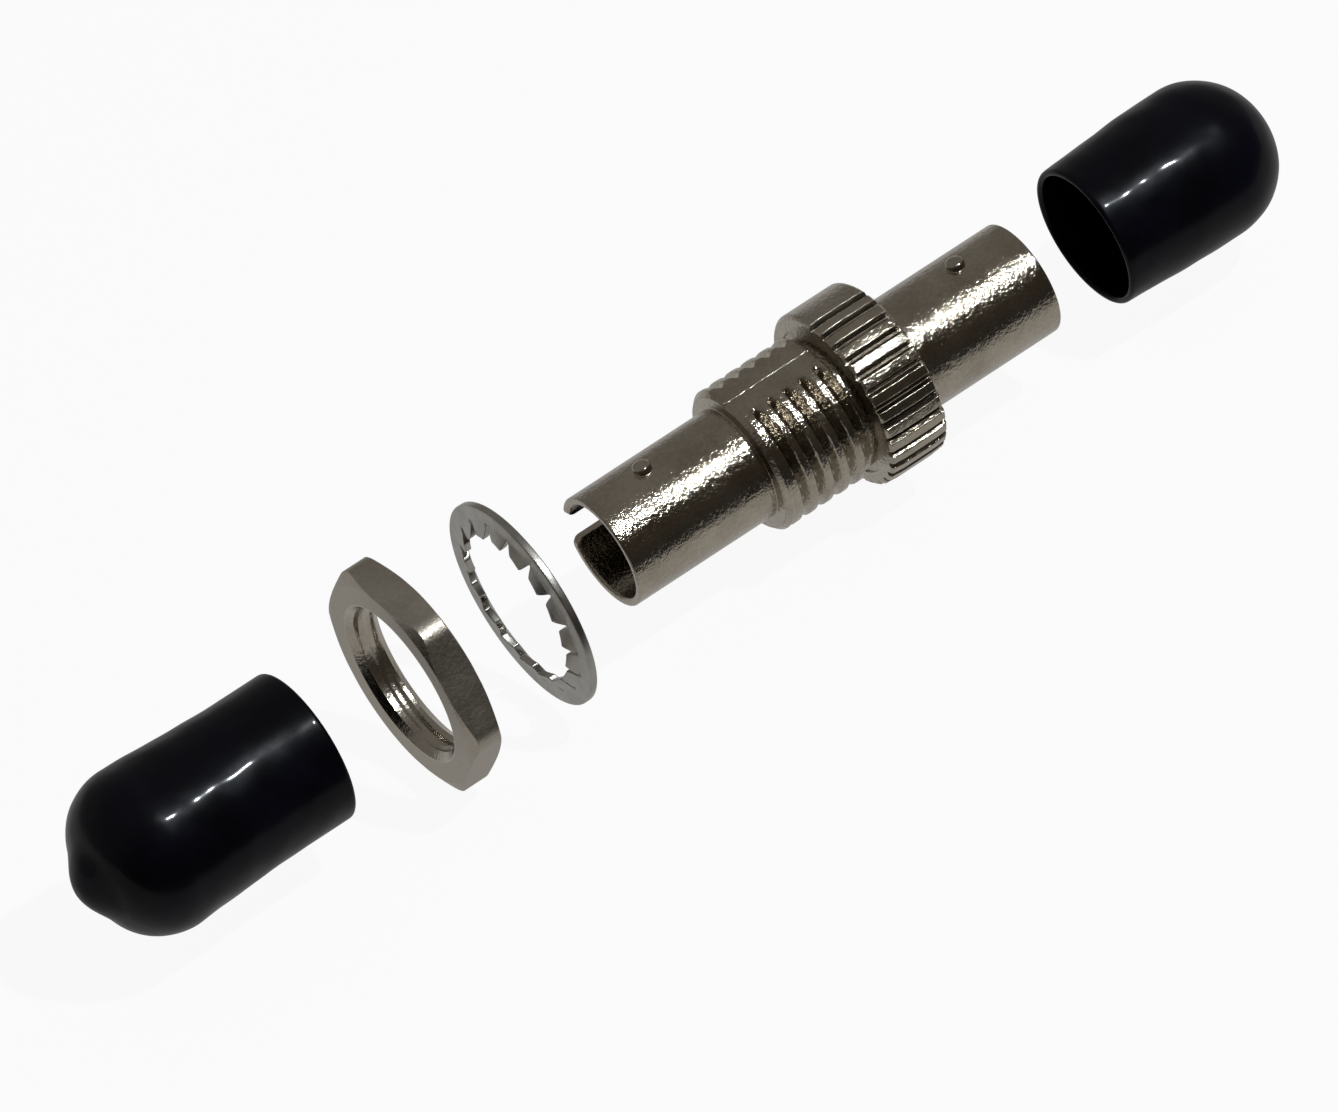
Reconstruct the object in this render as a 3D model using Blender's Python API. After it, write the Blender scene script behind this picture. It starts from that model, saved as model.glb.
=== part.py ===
"""A bulkhead fibre adapter with a bayonet port at each end, laid out in line as it comes apart.

The origin is the middle of the flange face that seats on the panel. +X runs along the adapter from
that face into the flange, +Z is the way the flat on the thread faces, and the key slots open towards +Y.
"""

import math

import bmesh
import bpy
from mathutils import Matrix

MM = 0.001

# Driving sizes, in millimetres
BARREL_OUTER_RADIUS = 3.5
BARREL_WALL = 0.5
FRONT_BARREL_LENGTH = 9.6
REAR_BARREL_LENGTH = 9.6
BARREL_EDGE_CHAMFER = 0.1
MOUTH_CHAMFER = 0.2

THREAD_RADIUS = 4.5
THREAD_LENGTH = 6.6
THREAD_START_CHAMFER = 0.3
THREAD_DEPTH = 0.36
THREAD_RELIEF_LENGTH = 0.6
THREAD_RELIEF_INTO_FLANGE = 0.1
THREAD_FLAT_DEPTH = 0.3
PARTING_LINE_WIDTH = 0.12
PARTING_LINE_HEIGHT = 0.04

FLANGE_STEP = 1.0
FLANGE_WIDTH = 3.9
FLANGE_CHAMFER = 0.2
KNURL_PITCHES_ROUND = 32
KNURL_PLAIN_PITCHES = 8
KNURL_DEPTH = 0.28
KNURL_MOUTH_WIDTH = 0.44
KNURL_FLOOR_WIDTH = 0.26

LUG_RADIUS = 0.55
LUG_RISE = 0.43
LUG_EDGE_CHAMFER = 0.12
LUG_FROM_MOUTH = 3.85
KEY_SLOT_WIDTH = 1.7
KEY_SLOT_LENGTH = 4.6

STEM_STEP = 0.6
STEM_LENGTH = 3.2
STEM_LEAD_CHAMFER = 0.15

SLEEVE_BORE_RADIUS = 1.25
SLEEVE_WALL = 0.35
SLEEVE_LENGTH = 11.4
SLEEVE_SLIT_WIDTH = 0.4
HOLDER_NOSE_WALL = 0.6
HOLDER_NOSE_STAND_OUT = 0.5
HOLDER_LEAD_IN = 0.5
WEB_THICKNESS = 0.8

WASHER_RING_WIDTH = 1.05
WASHER_TOOTH_LENGTH = 0.8
WASHER_THICKNESS = 0.45
WASHER_TEETH = 17
WASHER_TOOTH_BASE_SHARE = 0.94
WASHER_TOOTH_TIP_WIDTH = 0.9
WASHER_TOOTH_DISH = 0.35
WASHER_TOOTH_LIFT = 0.22

NUT_ACROSS_FLATS = 12.7
NUT_THICKNESS = 2.1
NUT_CORNER_CHAMFER = 0.4
NUT_BORE_CHAMFER = 0.4
NUT_TURN_DEG = -25.0

CAP_WALL = 0.45
FRONT_CAP_LENGTH = 15.5
FRONT_CAP_MOUTH_CLEARANCE = 0.34
FRONT_CAP_FLARE = 0.33
FRONT_CAP_FLARE_LENGTH = 10.0
FRONT_CAP_DOME_RADIUS = 3.9
FRONT_CAP_NUB_RADIUS = 2.0
FRONT_CAP_NUB_HEIGHT = 0.9
REAR_CAP_LENGTH = 12.75
REAR_CAP_MOUTH_CLEARANCE = 0.05
REAR_CAP_FLARE = 0.32
REAR_CAP_FLARE_LENGTH = 6.0
REAR_CAP_DOME_RADIUS = 4.3
REAR_CAP_NUB_RADIUS = 1.3
REAR_CAP_NUB_HEIGHT = 0.2

# Clearances and the gaps of the laid-out pieces, in millimetres
FIT_GAP = 0.05
END_GAP = 0.1
THREAD_CLEARANCE = 0.1
FERRULE_CLEARANCE = 0.05
FRONT_MOUTH_TO_WASHER = 5.2
WASHER_TO_NUT = 6.2
NUT_TO_FRONT_CAP = 6.35
REAR_MOUTH_TO_CAP = 4.4

# How finely round shapes are drawn
BARREL_SEGMENTS = 64
SMALL_SEGMENTS = 32
LUG_SEGMENTS = 16
DOME_STEPS = 6
NUB_STEPS = 4
SHARP_EDGE_DEG = 35.0
CARRIER_MARK_SIZE = 3.0
OVERCUT = 1.0

# Radii and places along the axis, worked out from the sizes
BARREL_BORE_RADIUS = BARREL_OUTER_RADIUS - BARREL_WALL
LUG_TIP_RADIUS = BARREL_OUTER_RADIUS + LUG_RISE
STEM_RADIUS = BARREL_OUTER_RADIUS + STEM_STEP
THREAD_ROOT_RADIUS = THREAD_RADIUS - THREAD_DEPTH
THREAD_FLAT_HEIGHT = THREAD_RADIUS - THREAD_FLAT_DEPTH
FLANGE_RADIUS = THREAD_RADIUS + FLANGE_STEP
SLEEVE_OUTER_RADIUS = SLEEVE_BORE_RADIUS + SLEEVE_WALL
SLEEVE_POCKET_RADIUS = SLEEVE_OUTER_RADIUS + FIT_GAP
HOLDER_HOLE_RADIUS = SLEEVE_BORE_RADIUS + FERRULE_CLEARANCE
HOLDER_NOSE_RADIUS = SLEEVE_POCKET_RADIUS + HOLDER_NOSE_WALL
HOLDER_RADIUS = BARREL_BORE_RADIUS - FIT_GAP
WEB_HOLE_RADIUS = HOLDER_NOSE_RADIUS + FIT_GAP
SEAT_INNER_RADIUS = THREAD_RADIUS + THREAD_CLEARANCE
NUT_BORE_RADIUS = THREAD_RADIUS + THREAD_CLEARANCE
WASHER_TIP_RADIUS = THREAD_RADIUS + THREAD_CLEARANCE
WASHER_RING_INNER_RADIUS = WASHER_TIP_RADIUS + WASHER_TOOTH_LENGTH
WASHER_OUTER_RADIUS = WASHER_RING_INNER_RADIUS + WASHER_RING_WIDTH
FRONT_CAP_MOUTH_RADIUS = LUG_TIP_RADIUS + FRONT_CAP_MOUTH_CLEARANCE + CAP_WALL
REAR_CAP_MOUTH_RADIUS = LUG_TIP_RADIUS + REAR_CAP_MOUTH_CLEARANCE + CAP_WALL
FRONT_SHOULDER_X = -THREAD_LENGTH
FRONT_MOUTH_X = FRONT_SHOULDER_X - FRONT_BARREL_LENGTH
FLANGE_REAR_X = FLANGE_WIDTH
REAR_MOUTH_X = FLANGE_REAR_X + REAR_BARREL_LENGTH
MIDDLE_X = (FRONT_MOUTH_X + REAR_MOUTH_X) / 2
HOLDER_HALF_LENGTH = SLEEVE_LENGTH / 2 + 2 * END_GAP
STEM_FRONT_X = FLANGE_REAR_X - STEM_LENGTH
WASHER_X = FRONT_MOUTH_X - FRONT_MOUTH_TO_WASHER - WASHER_THICKNESS
NUT_X = WASHER_X - WASHER_TO_NUT - NUT_THICKNESS
FRONT_CAP_MOUTH_X = NUT_X - NUT_TO_FRONT_CAP
REAR_CAP_MOUTH_X = REAR_MOUTH_X + REAR_MOUTH_TO_CAP


def clear_scene():
    for item in list(bpy.data.objects):
        bpy.data.objects.remove(item, do_unlink=True)


def surface(name, colour, roughness, metallic):
    material = bpy.data.materials.new(name)
    material.use_nodes = True
    shader = material.node_tree.nodes["Principled BSDF"]
    shader.inputs["Base Color"].default_value = (*colour, 1.0)
    shader.inputs["Roughness"].default_value = roughness
    shader.inputs["Metallic"].default_value = metallic
    material.diffuse_color = (*colour, 1.0)
    return material


def add_object(name, builder, material=None, parent=None):
    """Turns a filled bmesh into a smooth-shaded object with sharp edges kept."""
    bmesh.ops.recalc_face_normals(builder, faces=builder.faces)
    mesh = bpy.data.meshes.new(name)
    builder.to_mesh(mesh)
    builder.free()
    mesh.shade_smooth()
    mesh.set_sharp_from_angle(angle=math.radians(SHARP_EDGE_DEG))
    made = bpy.data.objects.new(name, mesh)
    bpy.context.scene.collection.objects.link(made)
    if material:
        mesh.materials.append(material)
    if parent:
        made.parent = parent
        made.matrix_parent_inverse = parent.matrix_world.inverted()
    return made


def add_carrier(name, x):
    """An empty on the adapter's axis, for a piece that slides along it."""
    carrier = bpy.data.objects.new(name, None)
    carrier.empty_display_size = CARRIER_MARK_SIZE * MM
    carrier.location = (x * MM, 0, 0)
    bpy.context.scene.collection.objects.link(carrier)
    bpy.context.view_layer.update()
    return carrier


def as_cutter(item):
    item.hide_render = True
    item.display_type = "WIRE"
    return item


def combine(target, other, operation):
    step = target.modifiers.new(f"{operation.lower()} {other.name}", "BOOLEAN")
    step.operation = operation
    step.solver = "EXACT"
    step.object = other


def spun(outline, segments, closed=True, degrees=360.0):
    """A bmesh turned about the X axis from an outline of (x, radius) points in millimetres."""
    builder = bmesh.new()
    points = [builder.verts.new((x * MM, 0, radius * MM)) for x, radius in outline]
    edges = [builder.edges.new(pair) for pair in zip(points, points[1:])]
    if closed:
        edges.append(builder.edges.new((points[-1], points[0])))
    geometry = points + edges
    if degrees < 360.0:
        geometry.append(builder.faces.new(points))
    bmesh.ops.spin(
        builder, geom=geometry, cent=(0, 0, 0), axis=(1, 0, 0),
        angle=math.radians(degrees), steps=segments, use_duplicate=False,
    )
    bmesh.ops.remove_doubles(builder, verts=builder.verts, dist=1e-7)
    return builder


def prism(corners, x_start, x_end):
    """A bmesh of a flat outline of (y, z) points, drawn out along X; all in millimetres."""
    builder = bmesh.new()
    base = [builder.verts.new((x_start * MM, y * MM, z * MM)) for y, z in corners]
    face = builder.faces.new(base)
    drawn = bmesh.ops.extrude_face_region(builder, geom=[face])
    moved = [item for item in drawn["geom"] if isinstance(item, bmesh.types.BMVert)]
    bmesh.ops.translate(builder, verts=moved, vec=((x_end - x_start) * MM, 0, 0))
    return builder


def joined(builders):
    """One bmesh that holds the shapes of several."""
    whole = bmesh.new()
    for builder in builders:
        bmesh.ops.recalc_face_normals(builder, faces=builder.faces)
        carrier = bpy.data.meshes.new("joined")
        builder.to_mesh(carrier)
        builder.free()
        whole.from_mesh(carrier)
        bpy.data.meshes.remove(carrier)
    return whole


def around_axis(builder, degrees):
    """Turns a bmesh about the X axis: positive turns +Z towards -Y."""
    bmesh.ops.rotate(
        builder, verts=builder.verts, cent=(0, 0, 0),
        matrix=Matrix.Rotation(math.radians(degrees), 3, "X"),
    )
    return builder


def cut_key_slot(barrel, mouth_x, inward):
    """The slot that the plug's key slides into: open at the mouth, round at its inner end."""
    half = KEY_SLOT_WIDTH / 2
    end_x = mouth_x + inward * (KEY_SLOT_LENGTH - half)
    start_x = mouth_x - inward * OVERCUT
    steps = LUG_SEGMENTS // 2
    arc = [math.pi / 2 - math.pi * i / steps for i in range(steps + 1)]
    outline = [(start_x, half)]
    outline += [(end_x + inward * half * math.cos(a), half * math.sin(a)) for a in arc]
    outline += [(start_x, -half)]
    builder = bmesh.new()
    depth = (SLEEVE_OUTER_RADIUS + BARREL_BORE_RADIUS) / 2
    base = [builder.verts.new((x * MM, depth * MM, z * MM)) for x, z in outline]
    face = builder.faces.new(base)
    drawn = bmesh.ops.extrude_face_region(builder, geom=[face])
    moved = [item for item in drawn["geom"] if isinstance(item, bmesh.types.BMVert)]
    rise = BARREL_OUTER_RADIUS + OVERCUT - depth
    bmesh.ops.translate(builder, verts=moved, vec=(0, rise * MM, 0))
    slot = as_cutter(add_object(f"{barrel.name}_key_slot", builder))
    combine(barrel, slot, "DIFFERENCE")


def add_lugs(barrel, mouth_x, inward):
    """The two round lugs that the plug's bayonet collar turns under."""
    centre_x = mouth_x + inward * LUG_FROM_MOUTH
    root = (BARREL_OUTER_RADIUS + BARREL_BORE_RADIUS) / 2
    tip = LUG_TIP_RADIUS
    for side, degrees in (("upper", 0), ("lower", 180)):
        builder = bmesh.new()
        bmesh.ops.create_cone(
            builder, cap_ends=True, segments=LUG_SEGMENTS,
            radius1=LUG_RADIUS * MM, radius2=LUG_RADIUS * MM, depth=(tip - root) * MM,
        )
        top = [face for face in builder.faces if face.normal.z > 0.9]
        bmesh.ops.bevel(
            builder, geom=list(top[0].edges), offset=LUG_EDGE_CHAMFER * MM,
            segments=2, profile=0.5, affect="EDGES", clamp_overlap=True,
        )
        middle = (tip + root) / 2
        bmesh.ops.translate(builder, verts=builder.verts, vec=(centre_x * MM, 0, middle * MM))
        around_axis(builder, degrees)
        lug = as_cutter(add_object(f"{barrel.name}_{side}_lug", builder))
        combine(barrel, lug, "UNION")


def cut_thread_flat(housing):
    """The flat that keeps the adapter from turning in a D-shaped hole, with its cast parting line."""
    half = THREAD_RADIUS + OVERCUT
    top = FLANGE_RADIUS + OVERCUT
    line = PARTING_LINE_WIDTH / 2
    ridge = THREAD_FLAT_HEIGHT + PARTING_LINE_HEIGHT
    corners = [
        (-half, THREAD_FLAT_HEIGHT), (-line, THREAD_FLAT_HEIGHT), (-line, ridge), (line, ridge),
        (line, THREAD_FLAT_HEIGHT), (half, THREAD_FLAT_HEIGHT), (half, top), (-half, top),
    ]
    cutter = prism(corners, FRONT_SHOULDER_X - OVERCUT, 0)
    combine(housing, as_cutter(add_object("thread_flat_cutter", cutter)), "DIFFERENCE")


def cut_knurl(housing):
    """Straight grooves round the flange, left out over a plain stretch beside the flat."""
    mouth = KNURL_MOUTH_WIDTH / 2
    floor = KNURL_FLOOR_WIDTH / 2
    bottom = FLANGE_RADIUS - KNURL_DEPTH
    slope = (mouth - floor) / KNURL_DEPTH
    over = mouth + slope * OVERCUT
    top = FLANGE_RADIUS + OVERCUT
    corners = [(-floor, bottom), (floor, bottom), (over, top), (-over, top)]
    pitch = 360.0 / KNURL_PITCHES_ROUND
    grooves = [
        around_axis(prism(corners, -OVERCUT, FLANGE_WIDTH + OVERCUT), pitch * i)
        for i in range(KNURL_PITCHES_ROUND - KNURL_PLAIN_PITCHES + 1)
    ]
    cutter = as_cutter(add_object("knurl_cutter", joined(grooves)))
    combine(housing, cutter, "DIFFERENCE")


def build_housing(material, parent):
    """Front port, thread and flange, die cast in one and plated."""
    web_rear_x = MIDDLE_X - HOLDER_HALF_LENGTH - END_GAP
    web_front_x = web_rear_x - WEB_THICKNESS
    outline = [
        (FRONT_MOUTH_X, BARREL_BORE_RADIUS + MOUTH_CHAMFER),
        (FRONT_MOUTH_X, BARREL_OUTER_RADIUS - BARREL_EDGE_CHAMFER),
        (FRONT_MOUTH_X + BARREL_EDGE_CHAMFER, BARREL_OUTER_RADIUS),
        (FRONT_SHOULDER_X, BARREL_OUTER_RADIUS),
        (FRONT_SHOULDER_X, THREAD_RADIUS - THREAD_START_CHAMFER),
        (FRONT_SHOULDER_X + THREAD_START_CHAMFER, THREAD_RADIUS),
        (-THREAD_RELIEF_LENGTH, THREAD_RADIUS),
        (-THREAD_RELIEF_LENGTH, THREAD_ROOT_RADIUS),
        (THREAD_RELIEF_INTO_FLANGE, THREAD_ROOT_RADIUS),
        (THREAD_RELIEF_INTO_FLANGE, SEAT_INNER_RADIUS),
        (0, SEAT_INNER_RADIUS),
        (0, FLANGE_RADIUS - FLANGE_CHAMFER),
        (FLANGE_CHAMFER, FLANGE_RADIUS),
        (FLANGE_REAR_X - FLANGE_CHAMFER, FLANGE_RADIUS),
        (FLANGE_REAR_X, FLANGE_RADIUS - FLANGE_CHAMFER),
        (FLANGE_REAR_X, STEM_RADIUS + FIT_GAP),
        (STEM_FRONT_X - FIT_GAP, STEM_RADIUS + FIT_GAP),
        (STEM_FRONT_X - FIT_GAP, BARREL_BORE_RADIUS),
        (web_rear_x, BARREL_BORE_RADIUS),
        (web_rear_x, WEB_HOLE_RADIUS),
        (web_front_x, WEB_HOLE_RADIUS),
        (web_front_x, BARREL_BORE_RADIUS),
        (FRONT_MOUTH_X + MOUTH_CHAMFER, BARREL_BORE_RADIUS),
    ]
    housing = add_object("housing", spun(outline, BARREL_SEGMENTS), material, parent)
    cut_thread_flat(housing)
    cut_knurl(housing)
    cut_key_slot(housing, FRONT_MOUTH_X, 1)
    add_lugs(housing, FRONT_MOUTH_X, 1)
    return housing


def build_rear_barrel(material, parent):
    """The rear port, whose stem is pressed into the flange."""
    web_front_x = MIDDLE_X + HOLDER_HALF_LENGTH + END_GAP
    web_rear_x = web_front_x + WEB_THICKNESS
    outline = [
        (STEM_FRONT_X, BARREL_BORE_RADIUS),
        (STEM_FRONT_X, STEM_RADIUS - STEM_LEAD_CHAMFER),
        (STEM_FRONT_X + STEM_LEAD_CHAMFER, STEM_RADIUS),
        (FLANGE_REAR_X, STEM_RADIUS),
        (FLANGE_REAR_X, BARREL_OUTER_RADIUS),
        (REAR_MOUTH_X - BARREL_EDGE_CHAMFER, BARREL_OUTER_RADIUS),
        (REAR_MOUTH_X, BARREL_OUTER_RADIUS - BARREL_EDGE_CHAMFER),
        (REAR_MOUTH_X, BARREL_BORE_RADIUS + MOUTH_CHAMFER),
        (REAR_MOUTH_X - MOUTH_CHAMFER, BARREL_BORE_RADIUS),
        (web_rear_x, BARREL_BORE_RADIUS),
        (web_rear_x, WEB_HOLE_RADIUS),
        (web_front_x, WEB_HOLE_RADIUS),
        (web_front_x, BARREL_BORE_RADIUS),
    ]
    barrel = add_object("rear_barrel", spun(outline, BARREL_SEGMENTS), material, parent)
    cut_key_slot(barrel, REAR_MOUTH_X, -1)
    add_lugs(barrel, REAR_MOUTH_X, -1)
    return barrel


def build_sleeve_holder(name, outward, material, parent):
    """Half of the cage round the alignment sleeve; its nose stands through the web towards the port."""
    shoulder = HOLDER_HALF_LENGTH
    pocket_end = SLEEVE_LENGTH / 2 + END_GAP
    nose_tip = shoulder + END_GAP + WEB_THICKNESS + HOLDER_NOSE_STAND_OUT
    split = END_GAP / 2
    half_outline = [
        (split, SLEEVE_POCKET_RADIUS),
        (split, HOLDER_RADIUS),
        (shoulder, HOLDER_RADIUS),
        (shoulder, HOLDER_NOSE_RADIUS),
        (nose_tip, HOLDER_NOSE_RADIUS),
        (nose_tip, HOLDER_HOLE_RADIUS + HOLDER_LEAD_IN),
        (nose_tip - HOLDER_LEAD_IN, HOLDER_HOLE_RADIUS),
        (pocket_end, HOLDER_HOLE_RADIUS),
        (pocket_end, SLEEVE_POCKET_RADIUS),
    ]
    outline = [(MIDDLE_X + outward * x, radius) for x, radius in half_outline]
    return add_object(name, spun(outline, SMALL_SEGMENTS), material, parent)


def build_alignment_sleeve(material, parent):
    """The split sleeve that lines the two ferrules up, sprung open by its slit."""
    slit_degrees = math.degrees(SLEEVE_SLIT_WIDTH / SLEEVE_OUTER_RADIUS)
    half = SLEEVE_LENGTH / 2
    outline = [
        (MIDDLE_X - half, SLEEVE_BORE_RADIUS),
        (MIDDLE_X - half, SLEEVE_OUTER_RADIUS),
        (MIDDLE_X + half, SLEEVE_OUTER_RADIUS),
        (MIDDLE_X + half, SLEEVE_BORE_RADIUS),
    ]
    builder = spun(outline, SMALL_SEGMENTS, degrees=360.0 - slit_degrees)
    return add_object("alignment_sleeve", builder, material, parent)


def build_lock_washer(material, parent):
    """A stamped spring-steel ring with teeth on its inside, bent towards the nut and twisted."""
    builder = bmesh.new()
    ring_inner = WASHER_RING_INNER_RADIUS
    pitch = math.tau / WASHER_TEETH
    base_half = pitch * WASHER_TOOTH_BASE_SHARE / 2
    tip_half = WASHER_TOOTH_TIP_WIDTH / 2 / WASHER_TIP_RADIUS
    sides = (WASHER_X, WASHER_X + WASHER_THICKNESS)

    def corner(x, radius, angle):
        place = (x * MM, -math.sin(angle) * radius * MM, math.cos(angle) * radius * MM)
        return builder.verts.new(place)

    def pair(radius, angle, lift=0.0):
        return [corner(x + lift, radius, angle) for x in sides]

    stations = []
    for i in range(WASHER_TEETH):
        middle = pitch * i
        start, end = middle - base_half, middle + base_half
        stations.append({
            "outer": [pair(WASHER_OUTER_RADIUS, a) for a in (start, middle, end)],
            "inner": [pair(ring_inner, a) for a in (start, middle, end)],
            "tip": [
                pair(WASHER_TIP_RADIUS, middle - tip_half, WASHER_TOOTH_LIFT - WASHER_TOOTH_DISH),
                pair(WASHER_TIP_RADIUS, middle + tip_half, -WASHER_TOOTH_LIFT - WASHER_TOOTH_DISH),
            ],
        })

    def band(first, second):
        """The two flat faces between neighbouring pairs of corners on two edges."""
        for side in (0, 1):
            builder.faces.new([first[0][side], first[1][side], second[1][side], second[0][side]])

    def wall(first, second):
        builder.faces.new([first[0], second[0], second[1], first[1]])

    for i, now in enumerate(stations):
        after = stations[(i + 1) % WASHER_TEETH]
        outer = now["outer"] + after["outer"][:1]
        inner = now["inner"] + after["inner"][:1]
        for j in range(3):
            band(outer[j:j + 2], inner[j:j + 2])
            wall(outer[j], outer[j + 1])
        wall(inner[2], inner[3])
        left, middle, right = now["inner"]
        tip_left, tip_right = now["tip"]
        for side in (0, 1):
            builder.faces.new([left[side], middle[side], tip_left[side]])
            builder.faces.new([middle[side], tip_right[side], tip_left[side]])
            builder.faces.new([middle[side], right[side], tip_right[side]])
        wall(left, tip_left)
        wall(tip_left, tip_right)
        wall(tip_right, right)
    return add_object("lock_washer", builder, material, parent)


def build_hex_nut(material, parent):
    """A thin hexagon nut with chamfered corners and a countersunk bore."""
    corner_radius = NUT_ACROSS_FLATS / 2 / math.cos(math.pi / 6)
    angles = [math.radians(NUT_TURN_DEG + 60.0 * i) for i in range(6)]
    corners = [(-corner_radius * math.sin(a), corner_radius * math.cos(a)) for a in angles]
    end_x = NUT_X + NUT_THICKNESS
    nut = add_object("hex_nut", prism(corners, NUT_X, end_x), material, parent)
    flat_radius = NUT_ACROSS_FLATS / 2
    rise = corner_radius - flat_radius + OVERCUT
    run = NUT_CORNER_CHAMFER * rise / (corner_radius - flat_radius)
    blank = [
        (NUT_X, 0), (NUT_X, flat_radius), (NUT_X + run, flat_radius + rise),
        (end_x - run, flat_radius + rise), (end_x, flat_radius), (end_x, 0),
    ]
    chamfer = as_cutter(add_object("hex_nut_chamfer", spun(blank, BARREL_SEGMENTS, closed=False)))
    combine(nut, chamfer, "INTERSECT")
    wide = NUT_BORE_RADIUS + NUT_BORE_CHAMFER
    bore = [
        (NUT_X - OVERCUT, 0), (NUT_X - OVERCUT, wide + OVERCUT),
        (NUT_X + NUT_BORE_CHAMFER, NUT_BORE_RADIUS), (end_x - NUT_BORE_CHAMFER, NUT_BORE_RADIUS),
        (end_x + OVERCUT, wide + OVERCUT), (end_x + OVERCUT, 0),
    ]
    cutter = as_cutter(add_object("hex_nut_bore", spun(bore, BARREL_SEGMENTS, closed=False)))
    combine(nut, cutter, "DIFFERENCE")
    return nut


def cap_skin(length, mouth_radius, head_radius, flare_length, dome_radius, inset):
    """The (depth, radius) points of a cap's skin from its mouth to the edge of its flat end.

    length leaves out the nub. inset is how far the skin lies inside the outer one: 0 outside, the
    wall's thickness inside.
    """
    round_off = dome_radius - inset
    flat_edge = head_radius - dome_radius
    points = [(0, mouth_radius - inset), (flare_length, head_radius - inset)]
    for i in range(DOME_STEPS + 1):
        angle = math.pi / 2 * i / DOME_STEPS
        depth = length - dome_radius + round_off * math.sin(angle)
        points.append((depth, flat_edge + round_off * math.cos(angle)))
    return points


def build_cap(name, mouth_x, outward, sizes, material, parent):
    """A dipped vinyl dust cap with a low nub at the middle of its closed end."""
    length, mouth_radius, flare, flare_length, dome_radius, nub_radius, nub_height = sizes
    head_radius = mouth_radius + flare
    end = length - nub_height
    outer = cap_skin(end, mouth_radius, head_radius, flare_length, dome_radius, 0)
    inner = cap_skin(end, mouth_radius, head_radius, flare_length, dome_radius, CAP_WALL)
    nub = []
    for i in range(1, NUB_STEPS + 1):
        angle = math.pi / 2 * i / NUB_STEPS
        nub.append((end + nub_height * math.sin(angle), nub_radius * math.cos(angle)))
    outer = [point for point in outer if point[1] > nub_radius]
    flat_edge = head_radius - dome_radius
    on_dome = math.sqrt(dome_radius ** 2 - max(nub_radius - flat_edge, 0) ** 2)
    base = (end - dome_radius + on_dome, nub_radius)
    inner_tip = (inner[-1][0], 0)
    path = [inner_tip] + inner[::-1] + outer + [base] + nub
    outline = [(mouth_x + outward * depth, radius) for depth, radius in path]
    builder = spun(outline, SMALL_SEGMENTS, closed=False)
    return add_object(name, builder, material, parent)


def main():
    clear_scene()
    plating = surface("nickel plating", (0.42, 0.40, 0.36), 0.3, 1.0)
    bright_steel = surface("bright steel", (0.55, 0.53, 0.49), 0.28, 1.0)
    holder_metal = surface("bronze", (0.34, 0.27, 0.18), 0.4, 1.0)
    ceramic = surface("zirconia", (0.86, 0.85, 0.80), 0.25, 0.0)
    vinyl = surface("black vinyl", (0.012, 0.012, 0.02), 0.2, 0.0)

    body = add_carrier("adapter_body", 0)
    build_housing(plating, body)
    build_rear_barrel(plating, body)
    build_sleeve_holder("front_sleeve_holder", -1, holder_metal, body)
    build_sleeve_holder("rear_sleeve_holder", 1, holder_metal, body)
    build_alignment_sleeve(ceramic, body)

    washer_carrier = add_carrier("lock_washer_slide", WASHER_X)
    build_lock_washer(bright_steel, washer_carrier)
    nut_carrier = add_carrier("hex_nut_slide", NUT_X)
    build_hex_nut(plating, nut_carrier)
    front_carrier = add_carrier("front_cap_slide", FRONT_CAP_MOUTH_X)
    front_sizes = (
        FRONT_CAP_LENGTH, FRONT_CAP_MOUTH_RADIUS, FRONT_CAP_FLARE, FRONT_CAP_FLARE_LENGTH,
        FRONT_CAP_DOME_RADIUS, FRONT_CAP_NUB_RADIUS, FRONT_CAP_NUB_HEIGHT,
    )
    build_cap("front_dust_cap", FRONT_CAP_MOUTH_X, -1, front_sizes, vinyl, front_carrier)
    rear_carrier = add_carrier("rear_cap_slide", REAR_CAP_MOUTH_X)
    rear_sizes = (
        REAR_CAP_LENGTH, REAR_CAP_MOUTH_RADIUS, REAR_CAP_FLARE, REAR_CAP_FLARE_LENGTH,
        REAR_CAP_DOME_RADIUS, REAR_CAP_NUB_RADIUS, REAR_CAP_NUB_HEIGHT,
    )
    build_cap("rear_dust_cap", REAR_CAP_MOUTH_X, 1, rear_sizes, vinyl, rear_carrier)


main()
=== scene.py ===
import math

import bpy
import numpy as np
from mathutils import Matrix, Vector


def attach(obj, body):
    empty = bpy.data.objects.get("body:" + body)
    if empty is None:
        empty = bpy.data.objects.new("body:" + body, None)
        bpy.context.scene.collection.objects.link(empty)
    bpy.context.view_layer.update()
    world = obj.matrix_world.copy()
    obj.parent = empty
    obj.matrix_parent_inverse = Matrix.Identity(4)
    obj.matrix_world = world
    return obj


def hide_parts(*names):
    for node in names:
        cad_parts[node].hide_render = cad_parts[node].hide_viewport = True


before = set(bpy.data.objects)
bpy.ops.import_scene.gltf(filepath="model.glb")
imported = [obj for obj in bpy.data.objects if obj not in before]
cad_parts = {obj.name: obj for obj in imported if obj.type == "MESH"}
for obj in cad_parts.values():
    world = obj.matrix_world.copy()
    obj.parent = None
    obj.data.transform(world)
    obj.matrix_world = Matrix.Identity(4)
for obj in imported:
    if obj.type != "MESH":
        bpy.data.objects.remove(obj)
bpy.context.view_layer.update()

# Housing
# One zinc die casting under nickel plate: the front port's barrel with its key slot and two lugs,
# the thread with its flat and, on the same casting, the flange that seats on the panel.
# All sizes are in millimetres; angles run about the X axis from +Z, the way the flat faces, to -Y.
MM = 0.001
BARREL_RADIUS = 3.5
BORE_RADIUS = 3.0
RIM_ROUND_OUTSIDE = 0.1
RIM_ROUND_INSIDE = 0.2
RIM_STEPS = 6
SLOT_HALF_WIDTH = 0.85
SLOT_LENGTH = 4.6
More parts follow.
